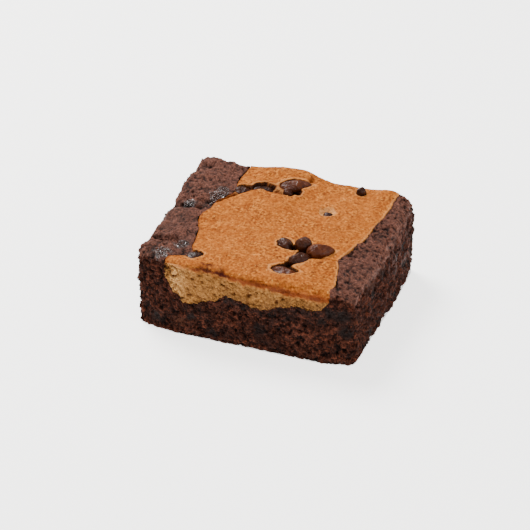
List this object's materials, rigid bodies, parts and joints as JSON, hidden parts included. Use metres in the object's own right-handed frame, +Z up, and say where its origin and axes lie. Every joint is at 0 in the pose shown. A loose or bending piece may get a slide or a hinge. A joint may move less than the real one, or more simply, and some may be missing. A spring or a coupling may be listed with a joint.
{
  "type": "brookie",
  "caption": "Square-cut brookie: a thick porous brownie with a golden cookie slab baked into its top, and glossy chocolate chips sunk in the cookie.",
  "frame": {"origin": "middle of the base, on the surface that the brookie rests on", "axes": "+Z up out of the cookie's top, +X along the long front cut to the right, and the front cut, with the cookie's thick pale side, faces -Y"},
  "size_m": [0.0888, 0.072, 0.037],
  "materials": {
    "brownie": "rough porous chocolate crumb under a thin dull crust",
    "cookie": "baked golden crust over pale open crumb",
    "chocolate": "satin dark chocolate"
  },
  "bodies": {
    "root": {"brownie": "brownie", "cookie": "cookie", "chip_notch": "chocolate", "chip_left_back": "chocolate", "chip_slit_back": "chocolate", "chip_long_back": "chocolate", "chip_small_back": "chocolate", "chip_upright": "chocolate", "chip_sunk": "chocolate", "chip_cluster_left": "chocolate", "chip_cluster_round": "chocolate", "chip_cluster_lens": "chocolate", "chip_cluster_front": "chocolate", "chip_slit_front": "chocolate"}
  },
  "joints": []
}
